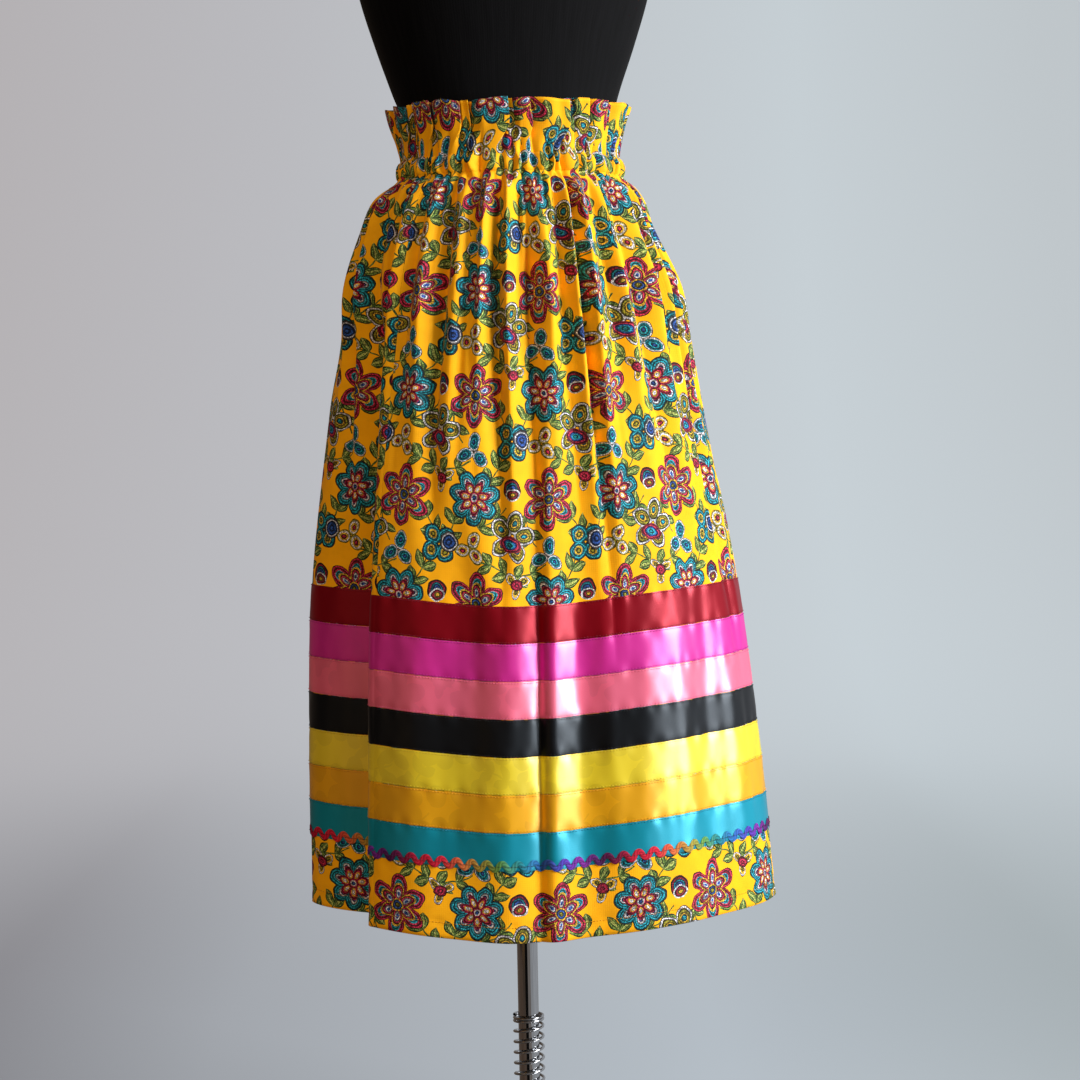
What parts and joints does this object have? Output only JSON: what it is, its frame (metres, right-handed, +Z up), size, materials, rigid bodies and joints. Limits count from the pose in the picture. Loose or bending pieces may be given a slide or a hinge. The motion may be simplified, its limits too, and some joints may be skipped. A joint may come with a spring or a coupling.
{
  "type": "ribbon skirt on a dress form",
  "caption": "Gathered midi skirt with a ruffled elastic waist, edge-to-edge satin ribbons and rickrack, shown on a limbless dress form with a round base.",
  "frame": {"origin": "centre of the base's flat underside, on the axis of the pole", "axes": "+Z up along the pole, -Y towards the skirt's front, +X towards the right of a viewer who faces the front"},
  "size_m": [0.4949, 0.3464, 1.5543],
  "materials": {
    "print_cotton": "plain-weave quilting cotton, golden yellow with a dotted floral print",
    "satin_burgundy": "single-face satin ribbon, burgundy, high sheen along the weft",
    "satin_orchid": "single-face satin ribbon, orchid, high sheen along the weft",
    "satin_pink": "single-face satin ribbon, pink, high sheen along the weft",
    "satin_black": "single-face satin ribbon, black, high sheen along the weft",
    "satin_lemon": "single-face satin ribbon, lemon, high sheen along the weft",
    "satin_gold": "single-face satin ribbon, gold, high sheen along the weft",
    "satin_turquoise": "single-face satin ribbon, turquoise, high sheen along the weft",
    "rickrack_braid": "variegated rainbow rickrack braid",
    "black_jersey": "matt black knitted jersey cover",
    "polished_chrome": "polished chrome plate"
  },
  "bodies": {
    "root": {"skirt_front": "print_cotton", "skirt_back": "print_cotton", "waist_casing_front": "print_cotton", "waist_casing_back": "print_cotton", "waist_ruffle_front": "print_cotton", "waist_ruffle_back": "print_cotton", "ribbon_burgundy_front": "satin_burgundy", "ribbon_burgundy_back": "satin_burgundy", "ribbon_orchid_front": "satin_orchid", "ribbon_orchid_back": "satin_orchid", "ribbon_pink_front": "satin_pink", "ribbon_pink_back": "satin_pink", "ribbon_black_front": "satin_black", "ribbon_black_back": "satin_black", "ribbon_lemon_front": "satin_lemon", "ribbon_lemon_back": "satin_lemon", "ribbon_gold_front": "satin_gold", "ribbon_gold_back": "satin_gold", "ribbon_turquoise_front": "satin_turquoise", "ribbon_turquoise_back": "satin_turquoise", "rickrack_front": "rickrack_braid", "rickrack_back": "rickrack_braid", "form_torso": "black_jersey", "form_neck_cap": "polished_chrome", "stand_pole": "polished_chrome", "stand_spring": "polished_chrome", "stand_hub": "polished_chrome", "stand_base": "polished_chrome"}
  },
  "joints": []
}
